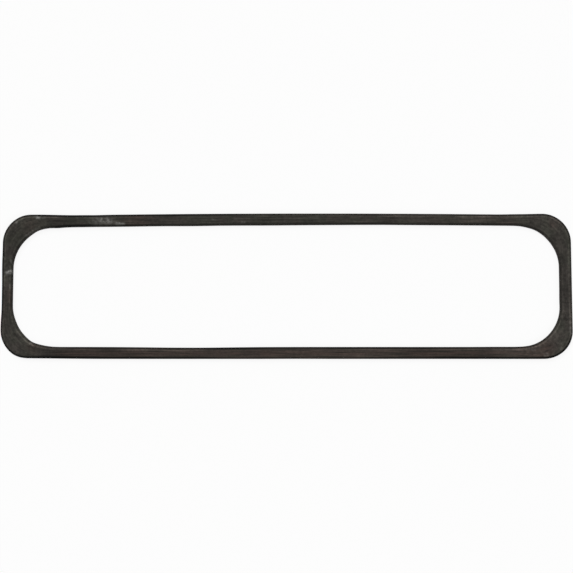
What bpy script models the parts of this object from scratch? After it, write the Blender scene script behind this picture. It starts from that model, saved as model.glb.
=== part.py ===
"""A one-piece moulded rubber valve cover gasket for a V8 cylinder head with centre-bolted covers.

The gasket is a flat closed ring that lies on its underside. X runs along the engine, Y across it,
and Z up through the thickness. The origin is under the middle of the ring, on the surface it rests on.
It is made from two outlines of rails and quarter-round corners. The outer one has ears at three of its
corners, where the next rail draws in. The window has larger corners, which makes the rubber wide there.
The soft ring does not lie quite true, so both outlines are then moved a little, as it lies.
"""

import math

import bmesh
import bpy

# Overall sizes, in metres
LENGTH = 0.4667
WIDTH = 0.1192
THICKNESS = 0.00476

# Width of the rubber between the corners, rail by rail
FRONT_RAIL = 0.0099
REAR_RAIL = 0.0095
LEFT_RAIL = 0.0088
RIGHT_RAIL = 0.0100

# Corners: the window's radius is larger than the outside one, so the rubber is wide there
OUTER_CORNER_RADIUS = 0.0233
WINDOW_CORNER_RADIUS = 0.0336

# Ears: the rear rail draws in between its two corners, and the left rail behind its front corner,
# each by its ear's height and over a run from the corner
REAR_EAR = 0.0010
REAR_EAR_RUN = 0.040
LEFT_EAR = 0.0006
LEFT_EAR_RUN = 0.018

# The window's edge: the rear rail grows wider to the left, and the front rail has a slight waist
REAR_RAIL_TAPER = 0.0005
FRONT_RAIL_WAIST = 0.0006
WAIST_PLACE = -0.078
WAIST_REACH = 0.045

# As it lies: the rear rail bows out at its middle, and the left end is a little narrower
REAR_BOW = 0.0019
LEFT_END_DRAW = 0.0005

# Section: the moulded edges are rounded
EDGE_RADIUS = 0.0007

# Fineness of the outlines and of the rounded edges
ARC_STEPS = 20
LONG_RAIL_STEPS = 40
END_RAIL_STEPS = 8
EDGE_STEPS = 2

RUBBER_COLOUR = (0.041, 0.037, 0.032, 1.0)
RUBBER_ROUGHNESS = 0.62


def clear_scene():
    for obj in list(bpy.data.objects):
        bpy.data.objects.remove(obj, do_unlink=True)


def new_collection(name):
    collection = bpy.data.collections.new(name)
    bpy.context.scene.collection.children.link(collection)
    return collection


def rubber():
    material = bpy.data.materials.new("black_rubber")
    material.use_nodes = True
    shader = material.node_tree.nodes["Principled BSDF"]
    shader.inputs["Base Color"].default_value = RUBBER_COLOUR
    shader.inputs["Roughness"].default_value = RUBBER_ROUGHNESS
    shader.inputs["Metallic"].default_value = 0.0
    return material


def smooth(share):
    """Rises from 0 to 1 with no slope at either end."""
    share = min(max(share, 0.0), 1.0)
    return share * share * (3.0 - 2.0 * share)


def arc(centre_x, centre_y, radius, start_degrees):
    """A quarter circle, counterclockwise, with both ends."""
    points = []
    for step in range(ARC_STEPS + 1):
        angle = math.radians(start_degrees + 90.0 * step / ARC_STEPS)
        x = centre_x + radius * math.cos(angle)
        y = centre_y + radius * math.sin(angle)
        points.append((x, y))
    return points


def straight(start, end, steps):
    """The points between two ends, without the ends."""
    points = []
    for step in range(1, steps):
        share = step / steps
        x = start[0] + (end[0] - start[0]) * share
        y = start[1] + (end[1] - start[1]) * share
        points.append((x, y))
    return points


def rounded_rectangle(left, right, front, rear, corner_radius):
    """A closed outline, counterclockwise from the front right corner."""
    radius = min(corner_radius, 0.49 * (right - left), 0.49 * (rear - front))
    front_right = arc(right - radius, front + radius, radius, -90.0)
    rear_right = arc(right - radius, rear - radius, radius, 0.0)
    rear_left = arc(left + radius, rear - radius, radius, 90.0)
    front_left = arc(left + radius, front + radius, radius, 180.0)
    return (
        front_right
        + straight(front_right[-1], rear_right[0], END_RAIL_STEPS)
        + rear_right
        + straight(rear_right[-1], rear_left[0], LONG_RAIL_STEPS)
        + rear_left
        + straight(rear_left[-1], front_left[0], END_RAIL_STEPS)
        + front_left
        + straight(front_left[-1], front_right[0], LONG_RAIL_STEPS)
    )


def rear_share(y):
    """How far a point belongs to the rear rail: 0 along the front rail, 1 along the rear one."""
    return smooth(0.5 + 2.0 * y / WIDTH)


def outer_outline():
    corner_x = LENGTH / 2 - OUTER_CORNER_RADIUS
    corner_y = WIDTH / 2 - OUTER_CORNER_RADIUS
    points = []
    for x, y in rounded_rectangle(-LENGTH / 2, LENGTH / 2, -WIDTH / 2, WIDTH / 2, OUTER_CORNER_RADIUS):
        past_rear_corner = smooth((corner_x - abs(x)) / REAR_EAR_RUN) if y > 0 else 0.0
        past_front_corner = smooth((y + corner_y) / LEFT_EAR_RUN)
        on_left_rail = smooth((-x - corner_x) / OUTER_CORNER_RADIUS)
        x += LEFT_EAR * past_front_corner * on_left_rail
        y -= REAR_EAR * past_rear_corner
        points.append((x, y))
    return points


def window_outline():
    outline = rounded_rectangle(
        -LENGTH / 2 + LEFT_EAR + LEFT_RAIL,
        LENGTH / 2 - RIGHT_RAIL,
        -WIDTH / 2 + FRONT_RAIL,
        WIDTH / 2 - REAR_EAR - REAR_RAIL,
        WINDOW_CORNER_RADIUS,
    )
    points = []
    for x, y in outline:
        taper = REAR_RAIL_TAPER * rear_share(y) * 2.0 * x / LENGTH
        waist = math.exp(-(((x - WAIST_PLACE) / WAIST_REACH) ** 2))
        y += taper - FRONT_RAIL_WAIST * waist * (1.0 - rear_share(y))
        points.append((x, y))
    return points


def as_it_lies(outline):
    """Moves an outline as the soft ring lies: the rear rail bowed out, the left end narrower."""
    points = []
    for x, y in outline:
        along = 2.0 * x / LENGTH
        bow = REAR_BOW * rear_share(y) * max(0.0, 1.0 - along * along)
        draw = LEFT_END_DRAW * (1.0 - along) * y / WIDTH
        points.append((x, y + bow - draw))
    return points


def centred(outlines):
    """Moves the outlines together, so that the outer one's box is centred on the origin."""
    xs = [x for x, _ in outlines[0]]
    ys = [y for _, y in outlines[0]]
    shift_x = (min(xs) + max(xs)) / 2
    shift_y = (min(ys) + max(ys)) / 2
    return [[(x - shift_x, y - shift_y) for x, y in outline] for outline in outlines]


def flat_ring_curve(name, outlines):
    """A filled 2D curve of the outlines, extruded to the thickness, with its edges rounded.

    The rounding grows outwards from the curve, so the curve is first drawn in by its radius.
    """
    edge_radius = min(EDGE_RADIUS, 0.45 * THICKNESS)
    curve = bpy.data.curves.new(name, "CURVE")
    curve.dimensions = "2D"
    curve.fill_mode = "BOTH"
    curve.extrude = THICKNESS / 2 - edge_radius
    curve.bevel_depth = edge_radius
    curve.bevel_resolution = EDGE_STEPS
    curve.offset = -edge_radius
    for outline in outlines:
        spline = curve.splines.new("POLY")
        spline.points.add(len(outline) - 1)
        for point, (x, y) in zip(spline.points, outline):
            point.co = (x, y, 0.0, 1.0)
        spline.use_cyclic_u = True
    return bpy.data.objects.new(name, curve)


def as_closed_mesh(curve_object, name, collection):
    """The curve as one welded mesh object, in the same place."""
    graph = bpy.context.evaluated_depsgraph_get()
    mesh = bpy.data.meshes.new_from_object(curve_object.evaluated_get(graph))
    body = bmesh.new()
    body.from_mesh(mesh)
    bmesh.ops.remove_doubles(body, verts=body.verts, dist=1e-6)
    bmesh.ops.recalc_face_normals(body, faces=body.faces)
    body.to_mesh(mesh)
    body.free()
    mesh.name = name
    obj = bpy.data.objects.new(name, mesh)
    obj.matrix_world = curve_object.matrix_world
    collection.objects.link(obj)
    bpy.data.objects.remove(curve_object, do_unlink=True)
    return obj


def build_gasket(collection):
    outlines = centred([as_it_lies(outer_outline()), as_it_lies(window_outline())])
    ring = flat_ring_curve("gasket_outlines", outlines)
    ring.location.z = THICKNESS / 2
    collection.objects.link(ring)
    bpy.context.view_layer.update()
    gasket = as_closed_mesh(ring, "valve_cover_gasket", collection)
    gasket.data.shade_smooth()
    gasket.data.set_sharp_from_angle(angle=math.radians(50.0))
    gasket.data.materials.append(rubber())


clear_scene()
build_gasket(new_collection("valve_cover_gasket"))
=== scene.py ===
"""The looks of a moulded rubber valve cover gasket, lying flat on a pale floor and seen from above.

The CAD solid gives the ring's place and overall size. One finely modelled ring stands for it here. It has
the same two outlines, moved a little where the soft rubber lies in or out, drafted walls that meet at a
parting line, rounded edges and a slightly uneven moulded skin. Its rubber is procedural: mottled charcoal,
browner along the front rail, streaked along the rails, and rubbed grey in a few places. Shade is painted
into it, darker at the edges and down the walls, with a painted highlight in a paler line beside each edge.
"""

import math

import bpy
import numpy as np
from mathutils import Euler, Matrix, Vector, noise


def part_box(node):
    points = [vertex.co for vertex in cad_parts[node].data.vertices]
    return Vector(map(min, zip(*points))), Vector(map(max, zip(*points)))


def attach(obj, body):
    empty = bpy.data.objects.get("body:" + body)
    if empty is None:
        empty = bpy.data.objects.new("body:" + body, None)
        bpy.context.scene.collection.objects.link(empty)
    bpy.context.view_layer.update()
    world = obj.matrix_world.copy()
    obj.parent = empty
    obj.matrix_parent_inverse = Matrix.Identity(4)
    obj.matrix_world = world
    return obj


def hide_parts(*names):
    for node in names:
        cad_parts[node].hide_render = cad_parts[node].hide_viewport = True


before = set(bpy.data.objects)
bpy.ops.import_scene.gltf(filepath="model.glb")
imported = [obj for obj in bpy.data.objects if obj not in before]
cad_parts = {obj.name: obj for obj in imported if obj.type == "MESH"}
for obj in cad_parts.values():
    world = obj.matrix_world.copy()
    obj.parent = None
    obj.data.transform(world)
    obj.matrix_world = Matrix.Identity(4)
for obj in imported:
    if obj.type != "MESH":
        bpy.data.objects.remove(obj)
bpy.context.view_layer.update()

NODE = "valve_cover_gasket"

# Millimetres in a metre
MILLIMETRES = 1000.0

# Sizes of the ring, in metres, as in the CAD model
box_low, box_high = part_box(NODE)
LENGTH = box_high.x - box_low.x
THICKNESS = box_high.z - box_low.z
WIDTH = 0.1192
FRONT_RAIL = 0.0099
REAR_RAIL = 0.0095
LEFT_RAIL = 0.0088
RIGHT_RAIL = 0.0100
OUTER_CORNER_RADIUS = 0.0233
WINDOW_CORNER_RADIUS = 0.0336
REAR_EAR = 0.0010
REAR_EAR_RUN = 0.040
LEFT_EAR = 0.0006
LEFT_EAR_RUN = 0.018
REAR_RAIL_TAPER = 0.0005
FRONT_RAIL_WAIST = 0.0006
WAIST_PLACE = -0.078
WAIST_REACH = 0.045
REAR_BOW = 0.0019
LEFT_END_DRAW = 0.0005
EDGE_RADIUS = 0.0007

# Where the soft ring's edges lie a little outside or inside these outlines, in millimetres:
# place, reach and width of the rubber that is added
OUTER_LAY = (
    (-206.0, -59.0, 34.0, -0.42),
    (-222.0, -56.5, 8.0, 0.36),
    (-212.0, -59.5, 6.0, -0.14),
    (-233.0, -28.0, 9.0, 0.18),
    (-233.0, 17.0, 10.0, 0.25),
    (198.0, 60.0, 9.0, -0.19),
    (-157.0, 59.0, 8.0, -0.16),
    (217.0, -59.0, 9.0, -0.12),
    (8.0, -60.0, 22.0, -0.10),
    (120.0, -60.0, 100.0, -0.09),
)
WINDOW_LAY = (
    (193.0, -50.0, 6.0, 0.24),
    (173.0, -50.0, 20.0, 0.15),
    (223.0, -11.0, 8.0, 0.17),
    (197.0, 49.0, 7.0, 0.46),
    (215.0, 37.0, 13.0, 0.31),
    (76.0, 50.0, 24.0, -0.14),
    (-14.0, 50.0, 34.0, 0.21),
    (-77.0, 50.0, 20.0, 0.27),
    (-130.0, 50.0, 26.0, 0.15),
    (-189.0, 49.0, 6.0, 0.50),
    (-204.0, 45.0, 5.0, -0.38),
    (-221.0, -28.0, 9.0, 0.47),
    (-208.0, -45.0, 5.0, -0.42),
    (-196.0, -49.0, 7.0, 0.44),
)

# Fine form of the section, in metres
WALL_DRAFT = 0.00009
PARTING_RIDGE = 0.00005
FACE_UNEVENNESS = 0.00005
WALL_UNEVENNESS = 0.00004

# The skin counts as face, and not as wall, where the height of its normal is more than this
FACE_NORMAL = 0.7

# Waves of the unevenness: how close they are, how much each kind counts, and what sets the kinds apart
LONG_WAVES = 55.0
SHORT_WAVES = 190.0
LONG_WAVE_SHARE = 0.33
SHORT_WAVE_SHARE = 0.17
SHORT_WAVE_OFFSET = 0.7

# Mesh steps: round each corner, along the rails, and across the parts of the section
CORNER_STEPS = 56
LONG_STEPS = 470
END_STEPS = 80
FACE_STEPS = 24
UNDERSIDE_STEPS = 5
ROUNDING_STEPS = 5
WALL_STEPS = 6

# Rubbed strokes on the top face, in millimetres: both ends, width and strength
RUB_MARKS = (
    (-228.8, 11.2, -227.2, 12.1, 2.2, 0.80),
    (-227.2, 12.1, -225.6, 12.3, 2.3, 1.00),
    (-228.2, 10.8, -225.2, 10.9, 3.0, 0.34),
    (-226.4, 1.6, -225.8, -1.4, 1.8, 0.16),
    (-225.4, 21.4, -225.2, 18.8, 1.4, 0.16),
    (-205.6, 56.6, -203.0, 56.4, 1.9, 0.80),
    (-203.4, 56.4, -198.8, 56.3, 1.5, 0.30),
    (-221.8, 52.2, -221.2, 52.8, 1.7, 0.45),
    (-213.6, 41.4, -207.6, 45.7, 1.3, 0.19),
    (-206.4, 46.4, -203.4, 47.9, 1.2, 0.14),
    (-152.0, 55.4, -151.8, 53.4, 2.0, 0.70),
    (-149.8, 55.8, -149.6, 54.6, 1.4, 0.35),
    (-146.7, 55.6, -146.3, 52.8, 2.4, 0.62),
    (-149.8, 53.1, -143.4, 53.3, 1.9, 0.48),
    (-143.5, 54.2, -143.2, 52.8, 1.7, 0.48),
    (-156.4, 53.8, -156.2, 52.4, 1.8, 0.30),
    (-162.2, 52.6, -161.4, 52.6, 1.4, 0.17),
    (-158.9, 54.3, -158.5, 53.7, 1.4, 0.17),
    (-156.4, 53.6, -144.4, 53.6, 5.2, 0.26),
    (-139.1, 51.7, -137.5, 51.6, 1.9, 1.00),
    (-137.5, 51.5, -133.2, 51.5, 1.5, 0.44),
    (-208.8, -46.8, -207.8, -47.0, 1.4, 0.35),
    (223.8, -49.4, 223.0, -52.0, 1.8, 0.16),
    (209.4, -55.6, 212.2, -55.6, 1.2, 0.26),
    (209.8, -57.0, 212.4, -57.0, 1.2, 0.24),
    (200.2, -52.6, 201.6, -52.6, 1.6, 0.14),
    (231.2, -34.6, 231.2, -39.6, 1.4, 0.20),
    (-60.8, 54.8, -58.8, 54.8, 1.2, 0.20),
    (-36.4, 52.4, -34.6, 52.4, 1.2, 0.20),
)

# How the two edges look, at places in millimetres: the dark line of painted shade on the edge, the pale
# line of painted highlight beside it
OUTER_EDGE = (
    (-214.0, -58.0, 1.05, 0.00),
    (-183.0, -60.0, 2.20, 0.00),
    (-135.0, -60.0, 1.30, 0.10),
    (-90.0, -60.0, 0.92, 0.15),
    (-30.0, -60.0, 0.55, 0.25),
    (40.0, -60.0, 0.60, 0.25),
    (100.0, -60.0, 0.75, 0.25),
    (147.0, -60.0, 1.40, 0.00),
    (194.0, -60.0, 1.20, 0.10),
    (223.0, -54.0, 1.30, 0.15),
    (233.0, -27.0, 0.05, 0.90),
    (233.0, 5.0, 0.30, 0.60),
    (232.0, 36.0, 0.45, 0.50),
    (215.0, 58.0, 0.70, 0.50),
    (184.0, 59.0, 0.60, 0.60),
    (150.0, 59.0, 0.42, 0.65),
    (115.0, 60.0, 0.35, 0.60),
    (40.0, 60.0, 0.40, 0.20),
    (-6.0, 60.0, 0.28, 0.05),
    (-80.0, 60.0, 1.00, 0.00),
    (-130.0, 59.0, 0.75, 0.10),
    (-162.0, 59.0, 1.10, 0.50),
    (-193.0, 59.0, 0.95, 0.60),
    (-223.0, 53.0, 0.55, 0.35),
    (-233.0, 26.0, 0.75, 0.50),
    (-233.0, -6.0, 0.90, 0.50),
    (-232.0, -37.0, 0.50, 0.40),
)
WINDOW_EDGE = (
    (198.0, 48.0, 0.62, 0.00),
    (170.0, 50.0, 0.74, 0.00),
    (140.0, 50.0, 0.60, 0.10),
    (60.0, 50.0, 0.66, 0.10),
    (-30.0, 50.0, 0.58, 0.00),
    (-100.0, 50.0, 0.64, 0.10),
    (-146.0, 50.0, 0.85, 0.15),
    (-175.0, 49.0, 1.50, 0.00),
    (-203.0, 45.0, 0.25, 0.25),
    (-222.0, 20.0, 0.50, 0.30),
    (-224.0, -5.0, 0.50, 0.50),
    (-219.0, -31.0, 0.00, 0.45),
    (-198.0, -48.0, 0.05, 1.00),
    (-160.0, -50.0, 0.78, 0.55),
    (-112.0, -50.0, 0.50, 1.10),
    (-84.0, -50.0, 0.70, 0.90),
    (-45.0, -50.0, 1.00, 0.05),
    (15.0, -50.0, 0.84, 0.10),
    (75.0, -50.0, 1.08, 0.30),
    (120.0, -50.0, 0.80, 0.45),
    (150.0, -50.0, 0.60, 0.70),
    (175.0, -50.0, 0.55, 0.65),
    (203.0, -46.0, 0.48, 0.70),
    (221.0, -26.0, 0.25, 0.60),
    (223.0, 2.0, 0.45, 0.20),
    (219.0, 30.0, 0.28, 0.10),
)

# How places are blended: a rounding in millimetres, and the power by which a place's weight falls
PLACE_ROUNDING = 1.0
PLACE_FALL = 4

# The least and most painted shade that the walls take of the dark line, and how far down the rounding this
# begins, in radii
WALL_SHADE = (0.20, 0.55)
WALL_START = 0.3

# Short stretches where the pale line's painted highlight is stronger, in millimetres: place, reach and
# strength
HIGHLIGHT_SPOTS = (
    (-226.0, 48.0, 5.0, 0.40),
    (-218.0, 54.5, 4.0, 0.45),
    (-211.5, 57.0, 6.0, 0.60),
    (-213.0, 41.0, 6.0, 0.20),
    (-217.0, -39.5, 6.0, 0.30),
    (-209.0, -46.5, 4.0, 0.75),
    (-185.0, -49.0, 7.0, 0.45),
)

# Lighter and darker stretches of the rubber, in millimetres: place, reach and change of tone
TONE_PATCHES = (
    (-186.0, -58.0, 18.0, -0.34),
    (-150.0, -57.0, 16.0, -0.18),
    (-122.0, -57.0, 14.0, -0.16),
    (-100.0, 54.0, 26.0, -0.06),
    (-20.0, -55.0, 14.0, -0.08),
    (30.0, -53.0, 12.0, 0.12),
    (62.0, -55.0, 14.0, 0.22),
    (85.0, -54.0, 10.0, 0.12),
    (108.0, -55.0, 20.0, -0.20),
    (145.0, -58.0, 22.0, -0.17),
    (182.0, -53.0, 12.0, 0.34),
    (202.0, -51.0, 12.0, 0.40),
    (222.0, -50.0, 8.0, 0.22),
    (223.0, -36.0, 12.0, 0.13),
    (219.0, 54.0, 9.0, 0.32),
    (175.0, 57.0, 40.0, 0.08),
    (-228.0, 2.0, 8.0, 0.17),
    (-228.0, -25.0, 12.0, -0.16),
    (-228.0, 26.0, 12.0, -0.12),
    (-220.0, 53.0, 7.0, 0.36),
    (-182.0, 49.0, 14.0, -0.40),
    (-191.0, 46.0, 6.0, -0.34),
    (-218.0, 42.0, 10.0, -0.24),
    (-219.0, -40.0, 11.0, 0.15),
    (-25.0, 54.0, 40.0, -0.09),
)

# Brownish places off the front rail, in millimetres: place, reach and strength
BROWN_PLACES = (
    (-122.0, 53.5, 13.0, 0.75),
    (150.0, 55.0, 38.0, 0.22),
    (183.0, 53.0, 9.0, 0.25),
    (219.0, 51.0, 4.0, 0.50),
    (212.0, -53.0, 7.0, 0.90),
    (-206.0, -51.0, 6.0, 0.55),
    (-227.0, -12.0, 12.0, 0.50),
    (-210.0, 50.0, 7.0, 0.40),
)

# The front rail's brown, in metres: its stretch along the rail, and its line along the rail's middle
BROWN_MIDDLE = 0.010
BROWN_REACH = 0.210
BROWN_FADE = 0.025
BROWN_LINE_PLACE = -0.0552
BROWN_LINE_REACH = 0.0019
BROWN_SHARE = 0.42
BROWN_LINE_SHARE = 0.50

# The brown of the walls, and the depth below the top face at which it is full, in metres
WALL_BROWN_SHARE = 0.6
WALL_BROWN_DEPTH = 0.0010

# Where the rubber turns from streaked rail to mottled corner, in metres from the ring's middle
CORNER_START = 0.180
CORNER_RUN = 0.030

# Share of the mottling that shows on the front rail, how much more on the rear one, and the share of the
# streaks that is gone in the corners
FRONT_MOTTLING = 0.42
REAR_EXTRA_MOTTLING = 0.18
CORNER_STREAK_LOSS = 0.5

# The photo's camera: lengths in millimetres, angles in degrees, and what it can see, in metres
CAMERA_DISTANCE = 1200.0
CAMERA_TILT = 5.93
CAMERA_ROLL = -0.046
FOCAL_LENGTH = 91.91
SENSOR_WIDTH = 36.0
AIM_POINT = (-0.07, -0.05, 0.0)
NEAREST_SEEN = 0.05
FURTHEST_SEEN = 20.0

# Lights: the strength of the sky and of two suns, with the suns' angles in degrees
SKY_STRENGTH = 0.35
KEY_SUN = {"strength": 1.5, "tilt": 32.0, "azimuth": -30.0, "spread": 35.0}
FILL_SUN = {"strength": 0.9, "tilt": 38.0, "azimuth": 140.0, "spread": 45.0}

# The floor, in metres, and the share of plain white that the camera sees there
FLOOR_SIZE = 8.0
FLOOR_DROP = 0.00005
FLOOR_WHITE_SHARE = 0.88

# Linear colours
CHARCOAL = (0.0351, 0.0315, 0.0275, 1.0)
GREENISH = (0.0328, 0.0318, 0.0263, 1.0)
BROWNISH = (0.0420, 0.0293, 0.0251, 1.0)
RUBBED_GREY = (0.2400, 0.2350, 0.2200, 1.0)
FLOOR_GREY = (0.85, 0.85, 0.85, 1.0)
WHITE = (1.0, 1.0, 1.0, 1.0)

# How far in from the edge the lines of painted shade and painted highlight begin and end, in metres, and
# the most that the dark line of painted shade takes away
DARK_LINE_FADE = (0.0008, 0.0024)
PALE_LINE_RISE = (0.0013, 0.0021)
PALE_LINE_FADE = (0.0022, 0.0034)
DARKEST = 0.96

# Sizes of the rubber's texture, in metres
CLOUD_SIZE = 0.016
BLOTCH_SIZE = 0.006
SPECK_SIZE = 0.0024
GRAIN_SIZE = 0.0007
STREAK_LENGTH = 0.024
STREAK_WIDTH = 0.0012
LINE_BREAK_LENGTH = 0.014
LINE_BREAK_WIDTH = 0.003

# How much each of them changes the tone
BLOTCH_AMOUNT = 1.5
SPECK_AMOUNT = 1.6
GRAIN_AMOUNT = 0.5
STREAK_AMOUNT = 1.9

# The noise: its middle level, its finer steps for most textures, specks and streaks, and how much these
# steps count
NOISE_MIDDLE = 0.5
FINER_STEPS = 2.0
SPECK_FINER_STEPS = 3.0
STREAK_FINER_STEPS = 1.0
FINER_SHARE = 0.55

# Two levels of noise, and what a texture is at each: the share of green and of brown, how strong the pale
# line of painted highlight and the rub marks are, and how rough the rubber is
GREEN_CLOUDS = (0.42, 0.60, 0.0, 1.0)
BROWN_STREAKS = (0.35, 0.60, 0.45, 1.0)
PALE_LINE_BREAKS = (0.38, 0.62, 0.7, 1.3)
PALE_LINE_SPECKS = (0.42, 0.58, 0.85, 1.15)
RUB_BREAKS = (0.40, 0.56, 0.35, 1.0)
ROUGHNESS = (0.3, 0.7, 0.66, 0.80)

# Gloss and fine relief of the rubber, the relief's depth in metres
SPECULAR_LEVEL = 0.08
RELIEF_STRENGTH = 0.5
RELIEF_DEPTH = 0.00008
GRAIN_IN_RELIEF = 0.5

# The Mix node's sockets for colours
MIX_SHARE = 0
MIX_FIRST = 6
MIX_SECOND = 7
MIX_RESULT = 2


def smooth(share):
    """Rises from 0 to 1 with no slope at either end."""
    share = np.clip(share, 0.0, 1.0)
    return share * share * (3.0 - 2.0 * share)


def rounded_rectangle(left, right, front, rear, corner_radius):
    """A closed outline, counterclockwise from the front right corner, in even steps."""
    corners = (
        (right - corner_radius, front + corner_radius, -90.0, END_STEPS),
        (right - corner_radius, rear - corner_radius, 0.0, LONG_STEPS),
        (left + corner_radius, rear - corner_radius, 90.0, END_STEPS),
        (left + corner_radius, front + corner_radius, 180.0, LONG_STEPS),
    )
    arcs = []
    for x, y, start, _ in corners:
        angle = np.radians(start + np.linspace(0.0, 90.0, CORNER_STEPS + 1))
        arcs.append(np.c_[x + corner_radius * np.cos(angle), y + corner_radius * np.sin(angle)])
    points = []
    for index, (_, _, _, rail_steps) in enumerate(corners):
        here, following = arcs[index], arcs[(index + 1) % len(arcs)]
        share = np.linspace(0.0, 1.0, rail_steps + 1)[1:-1, None]
        points += [here, here[-1] + (following[0] - here[-1]) * share]
    return np.vstack(points)


def rear_share(y):
    """How far a point belongs to the rear rail: 0 along the front rail, 1 along the rear one."""
    return smooth(0.5 + 2.0 * y / WIDTH)


def outer_outline():
    x, y = rounded_rectangle(-LENGTH / 2, LENGTH / 2, -WIDTH / 2, WIDTH / 2, OUTER_CORNER_RADIUS).T
    corner_x = LENGTH / 2 - OUTER_CORNER_RADIUS
    corner_y = WIDTH / 2 - OUTER_CORNER_RADIUS
    past_rear_corner = smooth((corner_x - np.abs(x)) / REAR_EAR_RUN) * (y > 0.0)
    past_front_corner = smooth((y + corner_y) / LEFT_EAR_RUN)
    on_left_rail = smooth((-x - corner_x) / OUTER_CORNER_RADIUS)
    return np.c_[x + LEFT_EAR * past_front_corner * on_left_rail, y - REAR_EAR * past_rear_corner]


def window_outline():
    x, y = rounded_rectangle(
        -LENGTH / 2 + LEFT_EAR + LEFT_RAIL,
        LENGTH / 2 - RIGHT_RAIL,
        -WIDTH / 2 + FRONT_RAIL,
        WIDTH / 2 - REAR_EAR - REAR_RAIL,
        WINDOW_CORNER_RADIUS,
    ).T
    taper = REAR_RAIL_TAPER * rear_share(y) * 2.0 * x / LENGTH
    waist = FRONT_RAIL_WAIST * np.exp(-(((x - WAIST_PLACE) / WAIST_REACH) ** 2)) * (1.0 - rear_share(y))
    return np.c_[x, y + taper - waist]


def as_it_lies(points):
    """The rear rail bowed out and the left end drawn in, as the soft ring lies."""
    x, y = points.T
    along = 2.0 * x / LENGTH
    bow = REAR_BOW * rear_share(y) * np.clip(1.0 - along * along, 0.0, 1.0)
    draw = LEFT_END_DRAW * (1.0 - along) * y / WIDTH
    return np.c_[x, y + bow - draw]


def outward(points):
    """Unit normals to the right of a counterclockwise outline, pointing out of it."""
    run = np.roll(points, -1, axis=0) - np.roll(points, 1, axis=0)
    normal = np.c_[run[:, 1], -run[:, 0]]
    return normal / np.linalg.norm(normal, axis=1)[:, None]


def distances(sections, x, y):
    """How far each point lies from a place, in millimetres, as seen from above."""
    return np.linalg.norm(sections[:, :, :2] * MILLIMETRES - (x, y), axis=2)


def patches(sections, places):
    """The sum of round soft patches, each given as place and reach in millimetres and an amount."""
    total = np.zeros(sections.shape[:2])
    for x, y, reach, amount in places:
        total += amount * np.exp(-((distances(sections, x, y) / reach) ** 2))
    return total


def outlines():
    """The outer outline and the window's, point for point across the rubber, centred as the solid is."""
    outer, window = as_it_lies(outer_outline()), as_it_lies(window_outline())
    shift = (outer.min(axis=0) + outer.max(axis=0)) / 2.0
    outer, window = outer - shift, window - shift
    outer_growth = patches(outer[:, None], OUTER_LAY) / MILLIMETRES
    window_growth = patches(window[:, None], WINDOW_LAY) / MILLIMETRES
    return outer + outward(outer) * outer_growth, window - outward(window) * window_growth


def wall_profile():
    """One wall from its top edge down: (inset from the outline, height), roundings included."""
    rows = []
    for step in range(ROUNDING_STEPS + 1):
        angle = math.radians(90.0 * step / ROUNDING_STEPS)
        inset = EDGE_RADIUS * (1.0 - math.sin(angle))
        height = THICKNESS - EDGE_RADIUS * (1.0 - math.cos(angle))
        rows.append((inset + WALL_DRAFT, height))
    for step in range(1, WALL_STEPS):
        height = THICKNESS - EDGE_RADIUS - (THICKNESS - 2.0 * EDGE_RADIUS) * step / WALL_STEPS
        from_parting = abs(2.0 * step / WALL_STEPS - 1.0)
        ridge = PARTING_RIDGE if step != WALL_STEPS // 2 else 0.0
        rows.append(((WALL_DRAFT - PARTING_RIDGE) * from_parting + ridge, height))
    for inset, height in reversed(rows[: ROUNDING_STEPS + 1]):
        rows.append((inset, THICKNESS - height))
    return rows


def ring_sections(outer, window):
    """Section points [station, row, xyz] round the ring.

    Also each point's distance in from the nearer edge, and whether that edge is the window's.
    """
    outer_normal, window_normal = outward(outer), -outward(window)
    profile = wall_profile()
    face_edge = EDGE_RADIUS + WALL_DRAFT
    outer_edge = outer - outer_normal * face_edge
    window_edge = window - window_normal * face_edge
    columns, from_edge, window_side = [], [], []

    def add(xy, z, distance, nearer_window):
        columns.append(np.c_[xy, np.full(len(xy), z)])
        from_edge.append(np.broadcast_to(distance, len(xy)))
        window_side.append(nearer_window)

    across = outer_edge - window_edge
    from_window = np.abs(np.einsum("sk,sk->s", across, window_normal))
    from_outer = np.abs(np.einsum("sk,sk->s", across, outer_normal))

    def add_face(height, shares):
        for share in shares:
            inset = face_edge + np.minimum(share * from_window, (1.0 - share) * from_outer)
            add(window_edge + across * share, height, inset, share < 0.5)

    add_face(THICKNESS, np.linspace(0.0, 1.0, FACE_STEPS + 1)[1:-1])
    for inset, height in profile:
        add(outer - outer_normal * inset, height, inset, False)
    add_face(0.0, np.linspace(1.0, 0.0, UNDERSIDE_STEPS + 1)[1:-1])
    for inset, height in reversed(profile):
        add(window - window_normal * inset, height, inset, True)
    return np.stack(columns, axis=1), np.stack(from_edge, axis=1), np.array(window_side)


def closed_ring_mesh(name, sections):
    """A torus-like mesh of quads through the section points, closed both ways."""
    stations, rows, _ = sections.shape
    index = np.arange(stations * rows).reshape(stations, rows)
    after = np.roll(index, -1, axis=0)
    quads = np.stack([index, np.roll(index, -1, axis=1), np.roll(after, -1, axis=1), after], axis=-1)
    mesh = bpy.data.meshes.new(name)
    mesh.from_pydata(sections.reshape(-1, 3).tolist(), [], quads.reshape(-1, 4).tolist())
    mesh.shade_smooth()
    mesh.update()
    return mesh


def unevenness(points):
    """Low, smooth noise from 0 to 1 at each point: long waves and shorter ones, as in moulded rubber."""
    values = np.empty(len(points))
    for number, (x, y, z) in enumerate(points):
        long_wave = noise.noise(Vector((x, y, z)) * LONG_WAVES)
        short_wave = noise.noise(Vector((x + SHORT_WAVE_OFFSET, y, z)) * SHORT_WAVES)
        values[number] = 0.5 + LONG_WAVE_SHARE * long_wave + SHORT_WAVE_SHARE * short_wave
    return np.clip(values, 0.0, 1.0)


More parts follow.
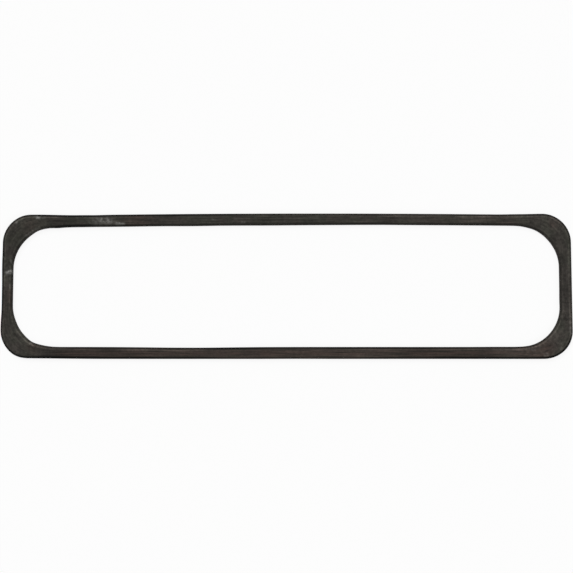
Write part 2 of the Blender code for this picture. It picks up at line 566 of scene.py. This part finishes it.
def roughen(mesh):
    """Sinks the skin a little along its normals, which keeps the ring inside the CAD solid's box."""
    count = len(mesh.vertices)
    points = np.empty(count * 3)
    mesh.vertices.foreach_get("co", points)
    normals = np.empty(count * 3)
    mesh.vertices.foreach_get("normal", normals)
    points, normals = points.reshape(-1, 3), normals.reshape(-1, 3)
    depth = np.where(np.abs(normals[:, 2]) > FACE_NORMAL, FACE_UNEVENNESS, WALL_UNEVENNESS)
    points = points - normals * (depth * unevenness(points))[:, None]
    mesh.vertices.foreach_set("co", points.ravel())
    mesh.update()


def lengthwise_places(sections, outer, window):
    """A place for each point in which the run round the ring and the way across it are straightened out.

    The run is wound on a circle of the ring's own length, so that a texture read there has no seam.
    """
    middle = (outer + window) / 2.0
    steps = np.linalg.norm(np.roll(middle, -1, axis=0) - middle, axis=1)
    radius = steps.sum() / (2.0 * math.pi)
    angle = (np.cumsum(steps) - steps) / radius
    across = np.einsum("srk,sk->sr", sections[:, :, :2] - middle[:, None], outward(middle))
    wound = np.c_[radius * np.cos(angle), radius * np.sin(angle)]
    places = np.empty_like(sections)
    places[:, :, :2] = wound[:, None]
    places[:, :, 2] = across + sections[:, :, 2]
    return places


def rubbed(sections):
    """How far each point is rubbed, from 0 to 1, by the strokes on the top face."""
    place = sections[:, :, :2] * MILLIMETRES
    amount = np.zeros(sections.shape[:2])
    for x0, y0, x1, y1, width, strength in RUB_MARKS:
        start, run = np.array((x0, y0)), np.array((x1 - x0, y1 - y0))
        from_start = place - start
        share = np.clip(from_start @ run / (run @ run), 0.0, 1.0)
        away = np.linalg.norm(from_start - share[:, :, None] * run, axis=2)
        amount = np.maximum(amount, strength * np.exp(-((2.0 * away / width) ** 2)))
    on_top = sections[:, :, 2] > THICKNESS / 2.0
    return amount * on_top


def blend_of_places(sections, places):
    """Values at each point, blended from those given at a few places, of which the nearest count most."""
    total, weights = 0.0, 0.0
    for x, y, *values in places:
        weight = 1.0 / (distances(sections, x, y)[:, :, None] + PLACE_ROUNDING) ** PLACE_FALL
        total = total + weight * values
        weights = weights + weight
    return total / weights


def edge_lines(sections, window_side):
    """The strength of the painted shade on the nearer edge and its wall, and of the painted highlight
    beside it.
    """
    on_outer = blend_of_places(sections, OUTER_EDGE)
    on_window = blend_of_places(sections, WINDOW_EDGE)
    dark, pale = np.moveaxis(np.where(window_side[:, None], on_window, on_outer), 2, 0)
    # Down the walls the dark line becomes painted shade, held between the walls' least and most
    down_wall = smooth((THICKNESS - sections[:, :, 2]) / EDGE_RADIUS - WALL_START)
    return dark + (np.clip(dark, *WALL_SHADE) - dark) * down_wall, pale


def brownness(sections):
    """Browner along the front rail, most at its middle, on the walls, and at a few more places."""
    x, y, z = np.moveaxis(sections, 2, 0)
    between_corners = smooth((BROWN_REACH - np.abs(x - BROWN_MIDDLE)) / BROWN_FADE)
    line = BROWN_LINE_SHARE * np.exp(-(((y - BROWN_LINE_PLACE) / BROWN_LINE_REACH) ** 2))
    front = between_corners * (1.0 - rear_share(y)) * (BROWN_SHARE + line)
    walls = WALL_BROWN_SHARE * smooth((THICKNESS - z) / WALL_BROWN_DEPTH)
    return np.clip(front + patches(sections, BROWN_PLACES) + walls, 0.0, 1.0)


def texture_shares(sections):
    """How much of the mottling and of the streaks shows.

    The mottling shows most in the corners, and the streaks on the long rails.
    """
    in_corner = smooth((np.abs(sections[:, :, 0]) - CORNER_START) / CORNER_RUN)
    on_rail = FRONT_MOTTLING + REAR_EXTRA_MOTTLING * rear_share(sections[:, :, 1])
    return on_rail + (1.0 - on_rail) * in_corner, 1.0 - CORNER_STREAK_LOSS * in_corner


def add_values(mesh, name, values):
    attribute = mesh.attributes.new(name, "FLOAT", "POINT")
    attribute.data.foreach_set("value", np.asarray(values, np.float32).ravel())


def add_vectors(mesh, name, vectors):
    attribute = mesh.attributes.new(name, "FLOAT_VECTOR", "POINT")
    attribute.data.foreach_set("vector", np.asarray(vectors, np.float32).ravel())


def build_ring():
    outer, window = outlines()
    sections, from_edge, window_side = ring_sections(outer, window)
    # Painted shade along the edges and walls, and a painted highlight in a pale line beside each edge
    dark, pale = edge_lines(sections, window_side)
    mottled, streaked = texture_shares(sections)
    values = {
        "from_edge": from_edge,
        "rubbed": rubbed(sections),
        "tone": patches(sections, TONE_PATCHES),
        "edge_shade": dark,
        "edge_highlight": pale,
        "highlight_spots": patches(sections, HIGHLIGHT_SPOTS),
        "brownness": brownness(sections),
        "mottled": mottled,
        "streaked": streaked,
    }
    mesh = closed_ring_mesh("rubber_ring", sections)
    roughen(mesh)
    for name, amounts in values.items():
        add_values(mesh, name, amounts)
    add_vectors(mesh, "lengthwise", lengthwise_places(sections, outer, window))
    ring = bpy.data.objects.new("rubber_ring", mesh)
    bpy.context.scene.collection.objects.link(ring)
    return ring


def add_node(tree, kind, inputs=None, **settings):
    """Adds a node. Each input is a value, or the output socket that feeds it."""
    node = tree.nodes.new(kind)
    for name, value in settings.items():
        setattr(node, name, value)
    for key, value in (inputs or {}).items():
        if isinstance(value, bpy.types.NodeSocket):
            tree.links.new(value, node.inputs[key])
        else:
            node.inputs[key].default_value = value
    return node


def add_math(tree, operation, first, second, clamp=False):
    node = add_node(tree, "ShaderNodeMath", {0: first, 1: second}, operation=operation, use_clamp=clamp)
    return node.outputs[0]


def add_range(tree, value, low, high, to_low, to_high):
    """Maps a value smoothly from one range to another, held at both ends."""
    inputs = {"Value": value, "From Min": low, "From Max": high, "To Min": to_low, "To Max": to_high}
    return add_node(tree, "ShaderNodeMapRange", inputs, interpolation_type="SMOOTHSTEP").outputs["Result"]


def add_noise(tree, place, size, finer_steps=FINER_STEPS):
    """Noise whose blotches are about the given size across, in metres."""
    inputs = {"Vector": place, "Scale": 1.0 / size, "Detail": finer_steps, "Roughness": FINER_SHARE}
    return add_node(tree, "ShaderNodeTexNoise", inputs).outputs[0]


def add_attribute(tree, name, output="Fac"):
    return add_node(tree, "ShaderNodeAttribute", attribute_name=name).outputs[output]


def add_streaks(tree, length, width):
    """Noise drawn out along the ring."""
    place = add_attribute(tree, "lengthwise", "Vector")
    scale = (width / length, width / length, 1.0)
    drawn_out = add_node(tree, "ShaderNodeVectorMath", {0: place, 1: scale}, operation="MULTIPLY")
    return add_noise(tree, drawn_out.outputs[0], width, STREAK_FINER_STEPS)


def varied(tree, value, share, amounts):
    """The value times one plus a share of the noises' swings about their middle, at the given amounts."""
    swing = -NOISE_MIDDLE * sum(amount for _, amount in amounts)
    for level, amount in amounts:
        swing = add_math(tree, "ADD", add_math(tree, "MULTIPLY", level, amount), swing)
    factor = add_math(tree, "ADD", add_math(tree, "MULTIPLY", swing, add_attribute(tree, share)), 1.0)
    return add_math(tree, "MULTIPLY", value, factor)


def add_mix(tree, share, first, second):
    inputs = {MIX_SHARE: share, MIX_FIRST: first, MIX_SECOND: second}
    return add_node(tree, "ShaderNodeMix", inputs, data_type="RGBA").outputs[MIX_RESULT]


def add_hue(tree, clouds, streaks):
    """Charcoal with faintly green clouds, and brown in lengthwise streaks where the ring is brownish."""
    green_share = add_range(tree, clouds, *GREEN_CLOUDS)
    streaked = add_range(tree, streaks, *BROWN_STREAKS)
    brown_share = add_math(tree, "MULTIPLY", add_attribute(tree, "brownness"), streaked)
    return add_mix(tree, brown_share, add_mix(tree, green_share, CHARCOAL, GREENISH), BROWNISH)


def add_edge_tone(tree, specks):
    """What each edge's lines do to the tone: painted shade darkens the edge, a painted highlight pales a
    line beside it.
    """
    from_edge = add_attribute(tree, "from_edge")
    near_edge = add_range(tree, from_edge, *DARK_LINE_FADE, 1.0, 0.0)
    dark = add_math(tree, "MULTIPLY", near_edge, add_attribute(tree, "edge_shade"))
    dark = add_math(tree, "MINIMUM", dark, DARKEST)
    past_edge = add_range(tree, from_edge, *PALE_LINE_RISE, 0.0, 1.0)
    short_of_face = add_range(tree, from_edge, *PALE_LINE_FADE, 1.0, 0.0)
    pale_place = add_math(tree, "MULTIPLY", past_edge, short_of_face)
    breaks = add_streaks(tree, LINE_BREAK_LENGTH, LINE_BREAK_WIDTH)
    broken = add_range(tree, breaks, *PALE_LINE_BREAKS)
    pale = add_math(tree, "MULTIPLY", add_attribute(tree, "edge_highlight"), broken)
    pale = add_math(tree, "MULTIPLY", pale, add_range(tree, specks, *PALE_LINE_SPECKS))
    # Stretches where the painted highlight beside the edge is stronger
    pale = add_math(tree, "ADD", pale, add_attribute(tree, "highlight_spots"))
    pale = add_math(tree, "MULTIPLY", pale, pale_place)
    light = add_math(tree, "ADD", pale, 1.0)
    return add_math(tree, "MULTIPLY", light, add_math(tree, "SUBTRACT", 1.0, dark))


def rubber():
    material = bpy.data.materials.new("charcoal_rubber")
    material.use_nodes = True
    tree = material.node_tree
    shader = tree.nodes["Principled BSDF"]
    place = add_node(tree, "ShaderNodeTexCoord").outputs["Object"]

    clouds = add_noise(tree, place, CLOUD_SIZE)
    blotches = add_noise(tree, place, BLOTCH_SIZE)
    specks = add_noise(tree, place, SPECK_SIZE, SPECK_FINER_STEPS)
    grain = add_noise(tree, place, GRAIN_SIZE)
    streaks = add_streaks(tree, STREAK_LENGTH, STREAK_WIDTH)

    tone = add_math(tree, "ADD", add_attribute(tree, "tone"), 1.0)
    # Painted shade darkens each edge and wall, and a painted highlight pales a line beside it
    tone = add_math(tree, "MULTIPLY", tone, add_edge_tone(tree, specks))
    mottling = ((blotches, BLOTCH_AMOUNT), (specks, SPECK_AMOUNT), (grain, GRAIN_AMOUNT))
    tone = varied(tree, tone, "mottled", mottling)
    tone = varied(tree, tone, "streaked", ((streaks, STREAK_AMOUNT),))
    hue = add_hue(tree, clouds, streaks)
    base = add_node(tree, "ShaderNodeVectorMath", {0: hue, "Scale": tone}, operation="SCALE").outputs[0]

    broken = add_range(tree, specks, *RUB_BREAKS)
    rub_share = add_math(tree, "MULTIPLY", add_attribute(tree, "rubbed"), broken, clamp=True)
    tree.links.new(add_mix(tree, rub_share, base, RUBBED_GREY), shader.inputs["Base Color"])

    tree.links.new(add_range(tree, blotches, *ROUGHNESS), shader.inputs["Roughness"])
    shader.inputs["Specular IOR Level"].default_value = SPECULAR_LEVEL

    height = add_math(tree, "ADD", specks, add_math(tree, "MULTIPLY", grain, GRAIN_IN_RELIEF))
    relief = {"Strength": RELIEF_STRENGTH, "Distance": RELIEF_DEPTH, "Height": height}
    bump = add_node(tree, "ShaderNodeBump", relief)
    tree.links.new(bump.outputs["Normal"], shader.inputs["Normal"])
    return material


def add_backdrop_share(tree, most):
    """How much of the plain white shows: the given share to the camera and in reflections, else none."""
    path = add_node(tree, "ShaderNodeLightPath")
    glossy_or_clear = add_math(
        tree, "MAXIMUM", path.outputs["Is Glossy Ray"], path.outputs["Is Transmission Ray"]
    )
    seen = add_math(tree, "MAXIMUM", path.outputs["Is Camera Ray"], glossy_or_clear)
    return add_math(tree, "MULTIPLY", seen, most)


def build_floor():
    """A pale floor just under the ring, which keeps the ring's shadow."""
    bpy.ops.mesh.primitive_plane_add(size=FLOOR_SIZE, location=(0.0, 0.0, -FLOOR_DROP))
    floor = bpy.context.object
    floor.name = "floor"
    material = bpy.data.materials.new("pale_floor")
    material.use_nodes = True
    tree = material.node_tree
    tree.nodes.clear()
    diffuse = add_node(tree, "ShaderNodeBsdfDiffuse", {"Color": FLOOR_GREY})
    white = add_node(tree, "ShaderNodeEmission", {"Color": WHITE, "Strength": 1.0})
    white_share = add_backdrop_share(tree, FLOOR_WHITE_SHARE)
    mix_inputs = {0: white_share, 1: diffuse.outputs[0], 2: white.outputs[0]}
    mix = add_node(tree, "ShaderNodeMixShader", mix_inputs)
    add_node(tree, "ShaderNodeOutputMaterial", {"Surface": mix.outputs[0]})
    floor.data.materials.append(material)


def add_sun(name, strength, tilt, azimuth, spread):
    """A wide soft sun. Tilt is from straight overhead, and azimuth 0 has it stand over the rear rail."""
    light = bpy.data.lights.new(name, "SUN")
    light.energy = strength
    light.angle = math.radians(spread)
    sun = bpy.data.objects.new(name, light)
    sun.rotation_euler = Euler((-math.radians(tilt), 0.0, -math.radians(azimuth)))
    bpy.context.scene.collection.objects.link(sun)


def build_world():
    """An even sky that lights the ring, and shows as plain white."""
    world = bpy.data.worlds.new("studio")
    bpy.context.scene.world = world
    world.use_nodes = True
    tree = world.node_tree
    sky = tree.nodes["Background"]
    sky.inputs["Color"].default_value = WHITE
    sky.inputs["Strength"].default_value = SKY_STRENGTH
    white = add_node(tree, "ShaderNodeBackground", {"Color": WHITE, "Strength": 1.0})
    mix_inputs = {0: add_backdrop_share(tree, 1.0), 1: sky.outputs[0], 2: white.outputs[0]}
    mix = add_node(tree, "ShaderNodeMixShader", mix_inputs)
    tree.links.new(mix.outputs[0], tree.nodes["World Output"].inputs["Surface"])


def build_camera():
    """A camera above the ring, tilted back a little from straight down."""
    data = bpy.data.cameras.new("camera")
    data.lens = FOCAL_LENGTH
    data.sensor_width = SENSOR_WIDTH
    data.clip_start = NEAREST_SEEN
    data.clip_end = FURTHEST_SEEN
    camera = bpy.data.objects.new("camera", data)
    turn = Matrix.Rotation(math.radians(CAMERA_TILT), 4, "X")
    turn = turn @ Matrix.Rotation(math.radians(CAMERA_ROLL), 4, "Z")
    aim = Vector(AIM_POINT) / MILLIMETRES
    back = turn.to_3x3() @ Vector((0.0, 0.0, CAMERA_DISTANCE / MILLIMETRES))
    camera.matrix_world = Matrix.Translation(aim + back) @ turn
    bpy.context.scene.collection.objects.link(camera)
    bpy.context.scene.camera = camera


bpy.context.scene.view_settings.view_transform = "Standard"
build_camera()
build_world()
build_floor()
add_sun("key", **KEY_SUN)
add_sun("fill", **FILL_SUN)

ring = build_ring()
ring.data.materials.append(rubber())
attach(ring, "root")
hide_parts(NODE)
